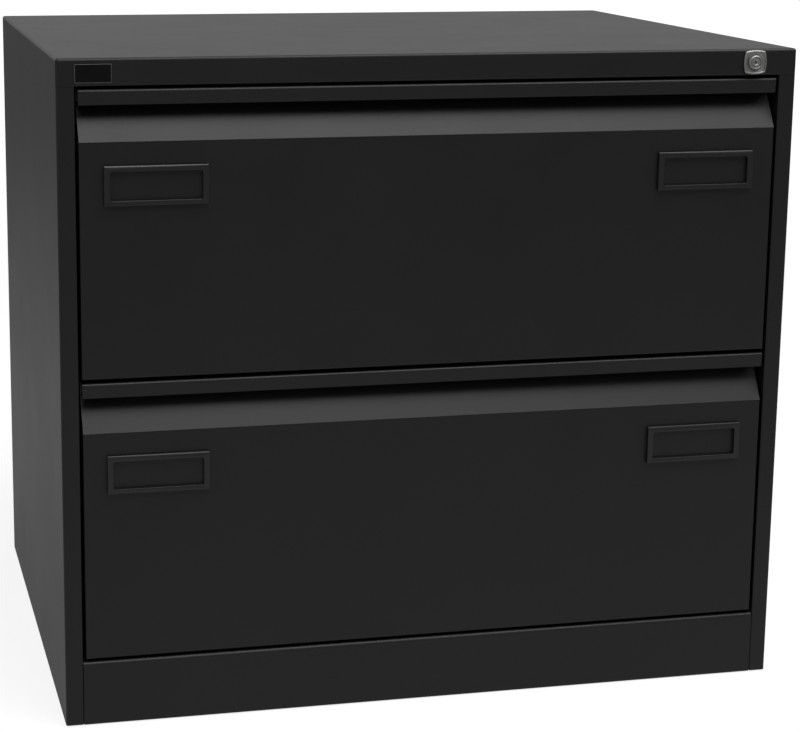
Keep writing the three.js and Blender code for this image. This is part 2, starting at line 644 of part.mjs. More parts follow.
function drawerBack(bottom) {
  const { floor, rail } = boxLevels(bottom);
  const middle = BOX_BACK - DRAWER_SHEET / 2;
  const reach = BOX_HALF - RAIL_FLANGE - DRAWER_SHEET - FIT;
  const low = floor + DRAWER_SHEET + BEND_RADIUS;
  const high = rail - DRAWER_SHEET - BEND_RADIUS;
  const section = foldedStrip(
    [[middle, low], [middle, rail + RAIL_LIP], [middle - INNER_FRONT_FLANGE, rail + RAIL_LIP]],
    DRAWER_SHEET, BEND_RADIUS);
  const wide = BOX_HALF - DRAWER_SHEET - FIT;
  const wall = block([-wide, wide], [BOX_BACK - DRAWER_SHEET, BOX_BACK], [low, high]);
  return prism('x', section, -reach, reach).add(wall);
}

// The centre rail is a trough with two upturned lips, the inner hooks of both lanes of files
function centreRail(bottom) {
  const { rail } = boxLevels(bottom);
  const lip = CENTRE_RAIL_WIDTH / 2;
  const top = rail + RAIL_LIP - DRAWER_SHEET - 2 * FIT;
  const section = foldedStrip(
    [[-lip, top], [-lip, rail], [lip, rail], [lip, top]], DRAWER_SHEET, BEND_RADIUS);
  return prism('y', section, BOX_INSIDE_FRONT + FIT, BOX_BACK - DRAWER_SHEET - FIT);
}

// A label frame with a chamfered rim, open at the back where the card slides in
function labelHolder(sign, bottom) {
  const outerEdge = FRONT_HALF - LABEL_INSET;
  const across = sign > 0 ? [outerEdge - LABEL_WIDTH, outerEdge] : [-outerEdge, LABEL_WIDTH - outerEdge];
  const centre = bottom + FRONT_HEIGHT - LABEL_DROP;
  const up = [centre - LABEL_HEIGHT / 2, centre + LABEL_HEIGHT / 2];
  const seat = -FIT;
  const face = seat - LABEL_THICKNESS;
  const c = LABEL_CHAMFER;
  const shrunk = ([from, to], margin) => [from + margin, to - margin];
  const frontToBack = roundedRectangle(up, [face, seat + 2 * c], c, 1);
  const sideToSide = roundedRectangle(across, [face, seat + 2 * c], c, 1);
  const chamfered = prism('x', frontToBack.map(([z, y]) => [y, z]), across[0], across[1])
    .intersect(prism('z', sideToSide, up[0], up[1]))
    .intersect(block(across, [face, seat], up));
  const windowAcross = shrunk(across, LABEL_SIDE_BAR);
  const windowUp = [up[0] + LABEL_BOTTOM_BAR, up[1] - LABEL_TOP_BAR];
  const cardUp = shrunk(windowUp, -LABEL_CARD_MARGIN);
  const cardAcross = shrunk(windowAcross, -LABEL_CARD_MARGIN);
  return chamfered
    .subtract(block(windowAcross, [face - TOOL_OVERRUN, seat + TOOL_OVERRUN], windowUp))
    .subtract(block(cardAcross, [seat - LABEL_CARD_SLOT, seat + TOOL_OVERRUN], cardUp));
}

// An angle on the right side of each box, which a tab of the locking bar stands in front of
function lockLug(bottom) {
  const half = LUG_SHEET / 2;
  const centre = lugCentre(bottom);
  const plate = BOX_HALF + FIT + half;
  const tongue = OPENING_HALF - LUG_REACH_SPACE;
  const section = foldedStrip(
    [[tongue, LUG_SETBACK + half], [plate, LUG_SETBACK + half], [plate, LUG_SETBACK + LUG_PLATE]],
    LUG_SHEET, BEND_RADIUS);
  return prism('z', section, centre - LUG_HEIGHT / 2, centre + LUG_HEIGHT / 2);
}

// Slide rails and cages are channels that nest in each other, open towards the drawer or the cabinet
function slideChannel(web, reach, height, sheet) {
  const half = sheet / 2;
  const outward = Math.sign(reach - web);
  const across = (u) => OPENING_HALF - u;
  const edge = height / 2 - half;
  const middle = web + outward * half;
  return foldedStrip(
    [[across(reach), -edge], [across(middle), -edge], [across(middle), edge], [across(reach), edge]],
    sheet, Math.max(BEND_RADIUS / 2, sheet));
}

function slideSections() {
  const s = SLIDE_SHEET;
  const c = BALL_CLEARANCE;
  const outerTrack = SLIDE_HEIGHT / 2 - s - c - OUTER_BALL;
  const middleHeight = 2 * (outerTrack - OUTER_BALL - c);
  const innerTrack = middleHeight / 2 - s - c - INNER_BALL;
  const drawerHeight = 2 * (innerTrack - INNER_BALL - c);
  const outerCageWeb = s + c;
  const middleWeb = outerCageWeb + CAGE_SHEET + c;
  const innerCageWeb = middleWeb + s + c;
  const cageHeight = (track) => 2 * track + CAGE_SHEET;
  return {
    cabinet_rail: slideChannel(0, CABINET_RAIL_REACH, SLIDE_HEIGHT, s),
    middle_rail: slideChannel(middleWeb, MIDDLE_RAIL_REACH, middleHeight, s),
    drawer_rail: slideChannel(SLIDE_THICKNESS, DRAWER_RAIL_REACH, drawerHeight, s),
    outer_cage: slideChannel(outerCageWeb, OUTER_CAGE_REACH, cageHeight(outerTrack), CAGE_SHEET),
    inner_cage: slideChannel(innerCageWeb, INNER_CAGE_REACH, cageHeight(innerTrack), CAGE_SHEET),
    outerRow: { track: outerTrack, across: OUTER_CAGE_REACH - OUTER_BALL, radius: OUTER_BALL },
    innerRow: { track: innerTrack, across: INNER_CAGE_REACH - INNER_BALL - FIT, radius: INNER_BALL },
  };
}

// A cage lies where its balls stay between both rails from closed to fully open
function cage(section, row) {
  const overlap = SLIDE_LENGTH - SLIDE_TRAVEL / 2;
  const front = SLIDE_FRONT_SETBACK + SLIDE_TRAVEL / 4 + FIT;
  const length = overlap - 2 * FIT;
  const pitch = length / BALLS_IN_ROW;
  const strip = prism('y', section, front, front + length);
  const balls = [];
  for (let i = 0; i < BALLS_IN_ROW; i += 1) {
    [-1, 1].forEach((up) => {
      const ball = new THREE.IcosahedronGeometry(row.radius, 0);
      ball.translate(OPENING_HALF - row.across, front + pitch * (i + 0.5), up * row.track);
      balls.push(solidOf(ball));
    });
  }
  return union([strip, ...balls]);
}

function addSlides(drawer, bottom) {
  const level = bottom + SLIDE_RAISE;
  const sections = slideSections();
  const rail = (section) => prism('y', section, SLIDE_FRONT_SETBACK, SLIDE_END);
  const pieces = {
    cabinet_rail: rail(sections.cabinet_rail),
    middle_rail: rail(sections.middle_rail),
    drawer_rail: rail(sections.drawer_rail),
    outer_cage: cage(sections.outer_cage, sections.outerRow),
    inner_cage: cage(sections.inner_cage, sections.innerRow),
  };
  SIDES.forEach(([side, sign]) => Object.entries(pieces).forEach(([name, solid]) => {
    addPiece(`${drawer}_${side}_${name}`, onSide(solid.translate([0, 0, level]), sign), ZINC);
  }));
}

[['lower', LOWER_BOTTOM], ['upper', UPPER_BOTTOM]].forEach(([drawer, bottom]) => {
  addPiece(`${drawer}_drawer_front`, drawerFront(bottom), POWDER_COAT);
  addPiece(`${drawer}_drawer_inner_front`, drawerInnerFront(bottom), DRAWER_STEEL);
  addPiece(`${drawer}_drawer_bottom`, drawerBottom(bottom), DRAWER_STEEL);
  addPiece(`${drawer}_drawer_back`, drawerBack(bottom), DRAWER_STEEL);
  addPiece(`${drawer}_drawer_centre_rail`, centreRail(bottom), DRAWER_STEEL);
  addPiece(`${drawer}_drawer_lock_lug`, lockLug(bottom), ZINC);
  SIDES.forEach(([side, sign]) => {
    addPiece(`${drawer}_drawer_${side}_side`, onSide(drawerSide(bottom), sign), DRAWER_STEEL);
    addPiece(`${drawer}_${side}_label_holder`, labelHolder(sign, bottom), MOULDED_BLACK);
  });
  addSlides(drawer, bottom);
});

export default cabinet;
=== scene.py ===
import bmesh
import bpy
import math
from mathutils import Matrix, Vector


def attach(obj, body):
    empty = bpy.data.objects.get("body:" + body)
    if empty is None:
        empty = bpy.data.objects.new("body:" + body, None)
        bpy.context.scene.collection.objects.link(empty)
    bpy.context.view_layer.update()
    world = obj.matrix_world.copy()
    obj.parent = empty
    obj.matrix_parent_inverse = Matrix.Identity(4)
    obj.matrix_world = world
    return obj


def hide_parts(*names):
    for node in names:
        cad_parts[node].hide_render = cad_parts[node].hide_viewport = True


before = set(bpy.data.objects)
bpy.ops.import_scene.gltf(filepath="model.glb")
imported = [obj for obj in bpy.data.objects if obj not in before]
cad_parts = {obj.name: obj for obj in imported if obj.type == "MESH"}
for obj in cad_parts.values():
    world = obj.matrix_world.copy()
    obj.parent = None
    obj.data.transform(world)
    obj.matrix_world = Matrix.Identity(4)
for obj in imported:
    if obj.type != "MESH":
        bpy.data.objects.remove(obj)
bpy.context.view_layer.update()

# Shell of the cabinet: mild steel sheet, 1 mm thick, cut flat, folded round a 3 mm nose and welded.
# The top turns down into the front rail in one piece, and each side carries its own hollow upright.
# Everything is sprayed with black powder and baked, which leaves a satin skin with a fine orange peel.
WIDE, DEEP, TALL = 800.0, 622.0, 711.0
SHEET, NOSE, BEND = 1.0, 2.5, 1.6
GAP = 0.3
GROUND_GAP = 2.0
CROWN = TALL - SHEET / 2


def linear(colour):
    channels = [int(colour[i:i + 2], 16) / 255 for i in (1, 3, 5)]
    return [c / 12.92 if c <= 0.04045 else ((c + 0.055) / 1.055) ** 2.4 for c in channels] + [1.0]


def start_finish(name):
    finish = bpy.data.materials.new(name)
    finish.use_nodes = True
    return finish, finish.node_tree.nodes["Principled BSDF"]


def feed(finish, node, links):
    for name, source in links.items():
        finish.node_tree.links.new(source, node.inputs[name])


def add_node(finish, kind, settings, links):
    node = finish.node_tree.nodes.new("ShaderNode" + kind)
    for name, value in settings.items():
        if name == "stops":
            for stop, (spot, colour) in zip(node.color_ramp.elements, value.items()):
                stop.position = spot
                stop.color = linear(colour)
        elif isinstance(name, int) or name in node.inputs:
            node.inputs[name].default_value = value
        else:
            setattr(node, name, value)
    feed(finish, node, links)
    return node


# Epoxy polyester powder coat: the bump is the orange peel, about 1.2 mm from crest to crest on the
# real coat and drawn at 2.6 mm so that it shows. Broad clouds shift its gloss and depth a little.
powder_coat, coat = start_finish("black_powder_coat")
coat.inputs["IOR"].default_value = 1.48
place = add_node(powder_coat, "TexCoord", {}, {})
peel = add_node(powder_coat, "TexNoise", {"Scale": 1 / 0.0026, "Detail": 2.0, "Roughness": 0.45},
                {"Vector": place.outputs["Object"]})
cloud = add_node(powder_coat, "TexNoise", {"Scale": 1 / 0.09, "Detail": 3.0, "Roughness": 0.55},
                 {"Vector": place.outputs["Object"]})
tone = add_node(powder_coat, "ValToRGB", {"stops": {0.3: "#0e0e0e", 0.7: "#121212"}},
                {"Fac": cloud.outputs["Fac"]})
gloss = add_node(powder_coat, "MapRange", {"From Min": 0.3, "From Max": 0.7, "To Min": 0.44, "To Max": 0.47},
                 {"Value": cloud.outputs["Fac"]})
bump = add_node(powder_coat, "Bump", {"Strength": 0.35, "Distance": 0.00006}, {"Height": peel.outputs["Fac"]})
feed(powder_coat, coat, {"Base Color": tone.outputs["Color"], "Roughness": gloss.outputs["Result"],
                         "Normal": bump.outputs["Normal"]})


def cut(sheet, axis, places):
    normal = Vector([1.0 if letter == axis else 0.0 for letter in "xyz"])
    for distance in places:
        everything = sheet.verts[:] + sheet.edges[:] + sheet.faces[:]
        bmesh.ops.bisect_plane(sheet, geom=everything, dist=0.001, plane_co=normal * distance,
                               plane_no=normal)


def keep(sheet, wanted):
    waste = [face for face in sheet.faces if not wanted(*face.calc_center_median())]
    bmesh.ops.delete(sheet, geom=waste, context="FACES")


def shell_skin():
    skin = bmesh.new()
    bmesh.ops.create_cube(skin, size=1.0)
    bmesh.ops.scale(skin, vec=(WIDE - SHEET, DEEP - SHEET, CROWN - GROUND_GAP), verts=skin.verts)
    bmesh.ops.translate(skin, vec=(0.0, DEEP / 2, (CROWN + GROUND_GAP) / 2), verts=skin.verts)
    keep(skin, lambda x, y, z: z > GROUND_GAP + SHEET)
    rounded = [edge for edge in skin.edges if not edge.is_boundary]
    bmesh.ops.bevel(skin, geom=rounded, offset=NOSE, offset_type="OFFSET", segments=6, profile=0.5,
                    affect="EDGES", material=-1)
    return skin


RAIL_FOOT, RAIL_RETURN = 682.5, 15.5
OPENING = 381.0
SEAM = 396.0
REAR_FLANGE = 20.0
REAR_FACE = DEEP - SHEET
NOSE_END = NOSE + SHEET / 2
# A point this near to a line counts as on it
SLACK = 0.1
rail_end = OPENING - GAP
rail_fold = RAIL_FOOT + SHEET / 2
flange_start = WIDE / 2 - REAR_FLANGE
flange_foot = TALL - REAR_FLANGE
top = shell_skin()
cut(top, "x", (-SEAM, SEAM, -rail_end, rail_end, GAP - flange_start, flange_start - GAP))
cut(top, "y", (NOSE_END, REAR_FACE))
cut(top, "z", (RAIL_FOOT, rail_fold, flange_foot, TALL - NOSE_END))


def in_top(x, y, z):
    if y < NOSE_END:
        return z > rail_fold or (z > RAIL_FOOT and abs(x) > rail_end)
    if z > TALL - NOSE_END:
        return abs(x) < SEAM
    return y > REAR_FACE and z > flange_foot and abs(x) < flange_start - GAP


def free_edges(sheet, wanted):
    return [edge for edge in sheet.edges if edge.is_boundary and all(wanted(*v.co) for v in edge.verts)]


def on_face(y):
    return y < SHEET / 2 + SLACK


def points(grown):
    return [v for v in grown if isinstance(v, bmesh.types.BMVert)]


def pull(sheet, edges, reach):
    grown = bmesh.ops.extrude_edge_only(sheet, edges=edges)["geom"]
    bmesh.ops.translate(sheet, vec=reach, verts=points(grown))


def fold(sheet, edges, radius):
    turn = edges[0].calc_face_angle()
    bmesh.ops.bevel(sheet, geom=edges, offset=radius * math.tan(turn / 2), offset_type="OFFSET",
                    segments=5, profile=0.5, affect="EDGES", material=-1)


def flange(sheet, edges, reach, radius):
    pull(sheet, edges, reach)
    fold(sheet, edges, radius)


keep(top, in_top)
rail_edge = free_edges(top, lambda x, y, z: on_face(y) and abs(z - rail_fold) < SLACK
                       and abs(x) < rail_end + SLACK)
flange(top, rail_edge, (0.0, RAIL_RETURN, 0.0), BEND)


def round_hole(mesh, border, centre, radius):
    grown = bmesh.ops.extrude_edge_only(mesh, edges=border)["geom"]
    for v in points(grown):
        v.co = Vector(centre) + (v.co - Vector(centre)).normalized() * radius
    return [edge for edge in grown if isinstance(edge, bmesh.types.BMEdge) and edge.is_boundary]


def pierce(sheet, centre, axis, radius):
    # The square that is cut away first is a little wider than the hole
    half = radius * 1.08
    for middle, letter in zip(centre, "xyz"):
        if letter != axis:
            cut(sheet, letter, (middle - half, middle + half))

    def near(*spot):
        return all(abs(a - b) < half + SLACK for a, b in zip(spot, centre))

    keep(sheet, lambda *spot: not near(*spot))
    bmesh.ops.bisect_edges(sheet, edges=free_edges(sheet, near), cuts=5)
    round_hole(sheet, free_edges(sheet, near), centre, radius)


LOCK_X, LOCK_Z = 351.5, 696.75
BARREL, BARREL_ROOM = 9.5, 0.2
pierce(top, (LOCK_X, SHEET / 2, LOCK_Z), "y", BARREL + BARREL_ROOM)

# Meshes are drawn in millimetres, with y counted from the front plane, and then moved into the frame
FRONT_PLANE = -308.7
METRE = 1000.0


def add_piece(name, mesh, body, nodes, material, sheet=0.0, edge=0.2, mirrored=False):
    if mirrored:
        bmesh.ops.scale(mesh, vec=(-1.0, 1.0, 1.0), verts=mesh.verts)
    bmesh.ops.translate(mesh, vec=(0.0, FRONT_PLANE, 0.0), verts=mesh.verts)
    bmesh.ops.scale(mesh, vec=[1 / METRE] * 3, verts=mesh.verts)
    bmesh.ops.recalc_face_normals(mesh, faces=mesh.faces)
    for face in mesh.faces:
        face.smooth = True
    data = bpy.data.meshes.new(name)
    mesh.to_mesh(data)
    mesh.free()
    piece = bpy.data.objects.new(name, data)
    bpy.context.scene.collection.objects.link(piece)
    data.materials.append(material)
    if sheet:
        wall = piece.modifiers.new("sheet", "SOLIDIFY")
        wall.thickness = sheet / METRE
        wall.offset = 0.0
        wall.use_even_offset = True
    if edge:
        soft = piece.modifiers.new("edges", "BEVEL")
        soft.width = edge / METRE
        soft.segments = 2
        soft.limit_method = "ANGLE"
        soft.angle_limit = math.radians(50)
    weighted = piece.modifiers.new("flats", "WEIGHTED_NORMAL")
    weighted.keep_sharp = True
    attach(piece, body)
    if nodes:
        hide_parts(*nodes)
    return piece


add_piece("cabinet_top", top, "carcass", ["top_panel"], powder_coat, SHEET)

SEAM_GAP = 0.5
UPRIGHT_RETURN = 21.5
SEAT_DROP, SEAT_WIDE = 1.35, 24.0
side_seam = SEAM + SEAM_GAP
upright = OPENING + SHEET / 2
upright_head = RAIL_FOOT - GAP
nose_cut = NOSE_END + GAP
flange_head = TALL - NOSE_END - GAP


def in_side(x, y, z):
    if y < nose_cut:
        return x > upright and z < upright_head
    return x > side_seam or (y > REAR_FACE and x > flange_start and z < flange_head)


for side in ("right", "left"):
    wall = shell_skin()
    cut(wall, "x", (side_seam, upright, flange_start))
    cut(wall, "y", (nose_cut, REAR_FACE))
    cut(wall, "z", (upright_head, flange_head))
    keep(wall, in_side)
    upright_edge = free_edges(wall, lambda x, y, z: abs(x - upright) < SLACK and on_face(y))
    flange(wall, upright_edge, (0.0, UPRIGHT_RETURN, 0.0), BEND)
    seat = free_edges(wall, lambda x, y, z: abs(x - side_seam) < SLACK and z > CROWN - SLACK
                      and y > nose_cut - SLACK)
    pull(wall, seat, (0.0, 0.0, -SEAT_DROP))
    step = free_edges(wall, lambda x, y, z: abs(x - side_seam) < SLACK and abs(z - CROWN + SEAT_DROP) < SLACK)
    pull(wall, step, (-SEAT_WIDE, 0.0, 0.0))
    add_piece(side + "_wall", wall, "carcass", [side + "_side_panel"], powder_coat, SHEET,
              mirrored=side == "left")

# Plinth, base and back: folded strips of the same sheet, welded between the two sides.
# The plinth hides the feet and has a soft fold along its top, where the light draws a bright line.
# The base is turned up along its front and rear, and the back is one flat sheet inside the rear flanges.
FACE = SHEET / 2
INSIDE = WIDE / 2 - SHEET - GAP
PLINTH_HALF, PLINTH_DEEP = 380.6, 18.0
PLINTH_FOOT, PLINTH_HEAD = 1.3, 71.5
PLINTH_RETURN, PLINTH_CORNER = 17.0, 0.7
PLINTH_FOLD = 4.2


def folded(corners, axis, reach, radius, soft=None):
    strip = bmesh.new()
    start, end = reach
    line = []
    for a, b in corners:
        spot = {"x": (start, a, b), "y": (a, start, b), "z": (a, b, start)}[axis]
        line.append(strip.verts.new(spot))
    edges = [strip.edges.new(pair) for pair in zip(line, line[1:])]
    pull(strip, edges, [end - start if letter == axis else 0.0 for letter in "xyz"])
    creases = [(edge, line.index(v)) for edge in strip.edges if not edge.is_boundary
               for v in edge.verts if v in line]
    for crease, corner in creases:
        fold(strip, [crease], (soft or {}).get(corner, radius))
    return strip


def end_returns(sheet, edges, reach, radius):
    for sign in (-1.0, 1.0):
        near_end = [edge for edge in edges if edge.is_valid and edge.verts[0].co.x * sign > 0]
        flange(sheet, near_end, (0.0, reach, 0.0), radius)


plinth = folded([(PLINTH_DEEP, PLINTH_FOOT), (FACE, PLINTH_FOOT), (FACE, PLINTH_HEAD),
                 (PLINTH_DEEP, PLINTH_HEAD)], "x", (-PLINTH_HALF, PLINTH_HALF), NOSE, soft={2: PLINTH_FOLD})
plinth_ends = free_edges(plinth, lambda x, y, z: on_face(y) and PLINTH_FOOT < z < PLINTH_HEAD)
end_returns(plinth, plinth_ends, PLINTH_RETURN, PLINTH_CORNER)
add_piece("plinth_strip", plinth, "carcass", ["plinth"], powder_coat, SHEET)

BASE_FRONT, BASE_REAR = 22.8, 618.9
BASE_LEVEL, BASE_LIP = 14.5, 36.0
STEM, STEM_ROOM = 4.0, 0.4
FOOT_X, FOOT_FRONT = 340.0, 62.0
FEET = {f"{end}_{side}_foot": (x, y) for end, y in (("front", FOOT_FRONT), ("rear", DEEP - FOOT_FRONT))
        for side, x in (("left", -FOOT_X), ("right", FOOT_X))}
base = folded([(BASE_FRONT, BASE_LIP), (BASE_FRONT, BASE_LEVEL), (BASE_REAR, BASE_LEVEL),
               (BASE_REAR, BASE_LIP)], "x", (-INSIDE, INSIDE), BEND)
for x, y in FEET.values():
    pierce(base, (x, y, BASE_LEVEL), "z", STEM + STEM_ROOM)
add_piece("base_sheet", base, "carcass", ["base_panel"], powder_coat, SHEET)

BACK_HALF, BACK_HEAD = 396.7, 708.4
back_face = REAR_FACE - GAP - SHEET / 2
back = folded([(-BACK_HALF, back_face), (BACK_HALF, back_face)], "z", (GROUND_GAP, BACK_HEAD), BEND)
add_piece("back_sheet", back, "carcass", ["back_panel"], powder_coat, SHEET)

# Posts: two slotted channels of 1.2 mm steel stand against each side wall and carry the slides.
# Each slot takes a hook of a slide, so the rows of slots run the whole height at a 50 mm step.
POSTS = {"front": 45.0, "rear": 540.0}
POST_SHEET, POST_WIDE = 1.2, 30.0
POST_FOOT, POST_HEAD = 15.3, 700.0
SLOT_STEP, SLOT_TALL, SLOT_HALF = 50.0, 12.0, 2.5
post_web = OPENING + GAP + POST_SHEET / 2
post_slots = [POST_FOOT + SLOT_STEP * i for i in range(1, 14)]
for side in ("right", "left"):
    for end, start in POSTS.items():
        near = start + POST_SHEET / 2
        far = start + POST_WIDE - POST_SHEET / 2
        middle = start + POST_WIDE / 2
        post = folded([(INSIDE, near), (post_web, near), (post_web, far), (INSIDE, far)], "z",
                      (POST_FOOT, POST_HEAD), BEND)
        cut(post, "y", (middle - SLOT_HALF, middle + SLOT_HALF))
        cut(post, "z", [z for slot in post_slots for z in (slot, slot + SLOT_TALL)])
        keep(post, lambda x, y, z: x > post_web + SHEET or abs(y - middle) > SLOT_HALF
             or not any(slot < z < slot + SLOT_TALL for slot in post_slots))
        add_piece(f"{end}_{side}_slotted_post", post, "carcass", [f"{end}_{side}_post"], powder_coat,
                  POST_SHEET, mirrored=side == "left")

# Levelling feet: one black nylon moulding each, a round pad on a stem that screws through the base.
# Nylon comes from the mould with a faint grain, so it looks duller than the paint above it.
foot_nylon, moulded = start_finish("moulded_black_nylon")
moulded.inputs["IOR"].default_value = 1.5
moulded.inputs["Base Color"].default_value = linear("#1a1a1a")
place = add_node(foot_nylon, "TexCoord", {}, {})
grain = add_node(foot_nylon, "TexNoise", {"Scale": 1 / 0.0008, "Detail": 2.0},
                 {"Vector": place.outputs["Object"]})
dull = add_node(foot_nylon, "MapRange", {"To Min": 0.5, "To Max": 0.65}, {"Value": grain.outputs["Fac"]})
bump = add_node(foot_nylon, "Bump", {"Strength": 0.3, "Distance": 0.00005}, {"Height": grain.outputs["Fac"]})
feed(foot_nylon, moulded, {"Roughness": dull.outputs["Result"], "Normal": bump.outputs["Normal"]})


def turned(profile, centre, axis, sides):
    lathe = bmesh.new()
    along = Vector([1.0 if letter == axis else 0.0 for letter in "xyz"])
    outward = Vector((0.0, 0.0, 1.0)) if axis == "x" else Vector((1.0, 0.0, 0.0))
    line = [lathe.verts.new(Vector(centre) + outward * radius + along * height) for radius, height in profile]
    edges = [lathe.edges.new(pair) for pair in zip(line, line[1:])]
    bmesh.ops.spin(lathe, geom=line + edges, cent=centre, axis=along, angle=2 * math.pi, steps=sides,
                   use_merge=True, use_duplicate=False)
    bmesh.ops.remove_doubles(lathe, verts=lathe.verts, dist=0.001)
    return lathe


PAD_PROFILE = ((0, 0), (15, 0), (16, 1), (16, 4), (13, 6), (8, 6), (8, 13.7), (STEM, 13.7), (STEM, 33),
               (3, 34), (0, 34))
for name, (x, y) in FEET.items():
    foot = turned(PAD_PROFILE, (x, y, 0.0), "z", 40)
    add_piece(name + "_pad", foot, name, [name], foot_nylon, edge=0.4)

# Spot welds: the rear flanges are welded to the back sheet, and each weld leaves a shallow ring in the
# steel under the paint. The marks stand in rows down both sides and along the top.
WELD_PROFILE = ((0.0, 0.04), (1.7, 0.05), (2.4, 0.24), (3.0, 0.22), (3.6, -0.05))
WELDS, WELD_FOOT, WELD_STEP = 9, 60.0, 75.0
TOP_WELD_START, TOP_WELD_STEP = 50.0, 85.0


def repeat(mesh, moves):
    first = mesh.verts[:] + mesh.edges[:] + mesh.faces[:]
    for move in moves:
        copy = bmesh.ops.duplicate(mesh, geom=first)["geom"]
        bmesh.ops.translate(mesh, vec=move, verts=points(copy))


weld_x = WIDE / 2 - REAR_FLANGE / 2
weld_rise = TALL - REAR_FLANGE / 2 - WELD_FOOT
down_sides = [(across, 0.0, WELD_STEP * i) for across in (0.0, -2 * weld_x) for i in range(WELDS)]
along_top = [(-TOP_WELD_START - TOP_WELD_STEP * i, 0.0, weld_rise) for i in range(WELDS)]
welds = turned(WELD_PROFILE, (weld_x, DEEP, WELD_FOOT), "y", 20)
repeat(welds, down_sides[1:] + along_top)
add_piece("rear_weld_marks", welds, "carcass", [], powder_coat, edge=0.0)

# Ball slides: three nested channels of zinc-plated steel on each side, with rows of hardened balls
# between them in thin cages. The drawer's channel is riveted to the box, and hooks hold the outer one.
# Zinc plate is pale and slightly blue, with a soft drawn grain along the strip.
zinc_plate, plated = start_finish("bright_zinc_plate")
plated.inputs["Metallic"].default_value = 1.0
place = add_node(zinc_plate, "TexCoord", {}, {})
lengthways = add_node(zinc_plate, "Mapping", {"Scale": (1.0, 0.02, 1.0)}, {"Vector": place.outputs["Object"]})
drawn = add_node(zinc_plate, "TexNoise", {"Scale": 1 / 0.0009, "Detail": 3.0},
                 {"Vector": lengthways.outputs["Vector"]})
spangle = add_node(zinc_plate, "TexVoronoi", {"Scale": 1 / 0.006}, {"Vector": place.outputs["Object"]})
tone = add_node(zinc_plate, "ValToRGB", {"stops": {0.3: "#b4b8bc", 0.7: "#c9ccce"}},
                {"Fac": drawn.outputs["Fac"]})
satin = add_node(zinc_plate, "MapRange", {"To Min": 0.3, "To Max": 0.42},
                 {"Value": spangle.outputs["Distance"]})
feed(zinc_plate, plated, {"Base Color": tone.outputs["Color"], "Roughness": satin.outputs["Result"]})

DRAWERS = {"lower": 75.0, "upper": 379.25}
SLIDE_LEVEL, SLIDE_THICK = 75.0, 12.7
SLIDE_FROM, SLIDE_TO = 45.0, 585.0
# For each channel: its web and its reach from the post, its height and its sheet
RAILS = {"cabinet_rail": (0.0, 8.4, 45.0, 1.2), "middle_rail": (2.4, 10.8, 34.6, 1.2),
         "drawer_rail": (SLIDE_THICK, 7.0, 25.8, 1.2)}
RAIL_SLOTS = [85.0 + 92.0 * i for i in range(6)]
RAIL_SLOT_LONG, RAIL_SLOT_HALF = 18.0, 3.0
RIVET_PROFILE = ((0.0, 1.2), (1.8, 1.0), (3.2, 0.5), (3.6, -0.1))
RIVET_START, RIVET_STEPS = 75.0, (120.0, 250.0, 370.0, 480.0)
# For each cage the same four sizes, then its balls' radius, their height from the middle and their depth
CAGES = {"outer_cage": (1.5, 7.6, 39.2, 0.6, 1.7, 19.3, 5.9),
         "inner_cage": (3.9, 10.0, 29.6, 0.6, 1.3, 14.5, 8.4)}
CAGE_FROM, CAGE_TO = 175.3, 454.7
BALLS, BALL_START, BALL_STEP = 14, 185.0, 20.0
RIDES = {"cabinet_rail": "carcass", "middle_rail": "{}_middle_slides", "drawer_rail": "{}_drawer",
         "outer_cage": "{}_outer_cages", "inner_cage": "{}_inner_cages"}


def channel(web, reach, height, sheet, level, span):
    outward = math.copysign(1.0, reach - web)
    edge = height / 2 - sheet / 2
    spine = OPENING - (web + outward * sheet / 2)
    lip = OPENING - reach
    return folded([(lip, level - edge), (spine, level - edge), (spine, level + edge), (lip, level + edge)],
                  "y", span, max(0.8, sheet))


rivet_face = OPENING - SLIDE_THICK + RAILS["drawer_rail"][3]
for drawer, bottom in DRAWERS.items():
    level = bottom + SLIDE_LEVEL
    for side in ("right", "left"):
        for rail, (web, reach, height, sheet) in RAILS.items():
            strip = channel(web, reach, height, sheet, level, (SLIDE_FROM, SLIDE_TO))
            if rail == "middle_rail":
                cut(strip, "y", [y for slot in RAIL_SLOTS for y in (slot, slot + RAIL_SLOT_LONG)])
                cut(strip, "z", (level - RAIL_SLOT_HALF, level + RAIL_SLOT_HALF))
                keep(strip, lambda x, y, z: abs(z - level) > RAIL_SLOT_HALF
                     or not any(slot < y < slot + RAIL_SLOT_LONG for slot in RAIL_SLOTS))
            add_piece(f"{drawer}_{side}_{rail}_strip", strip, RIDES[rail].format(drawer),
                      [f"{drawer}_{side}_{rail}"], zinc_plate, sheet, edge=0.15,
                      mirrored=side == "left")
        rivets = turned(RIVET_PROFILE, (rivet_face, RIVET_START, level), "x", 20)
        repeat(rivets, [(0.0, step, 0.0) for step in RIVET_STEPS])
        add_piece(f"{drawer}_{side}_rail_rivets", rivets, f"{drawer}_drawer", [], zinc_plate,
                  edge=0.0, mirrored=side == "left")
        for cage, (web, reach, height, sheet, ball, track, depth) in CAGES.items():
            strip = channel(web, reach, height, sheet, level, (CAGE_FROM, CAGE_TO))
            add_piece(f"{drawer}_{side}_{cage}_strip", strip, RIDES[cage].format(drawer),
                      [f"{drawer}_{side}_{cage}"], zinc_plate, sheet, edge=0.0,
                      mirrored=side == "left")
            row = bmesh.new()
            for i in range(BALLS):
                for rise in (-track, track):
                    spot = (OPENING - depth, BALL_START + BALL_STEP * i, level + rise)
                    bmesh.ops.create_icosphere(row, subdivisions=2, radius=ball,
                                               matrix=Matrix.Translation(spot))
            add_piece(f"{drawer}_{side}_{cage}_balls", row, RIDES[cage].format(drawer), [], zinc_plate,
                      edge=0.0, mirrored=side == "left")

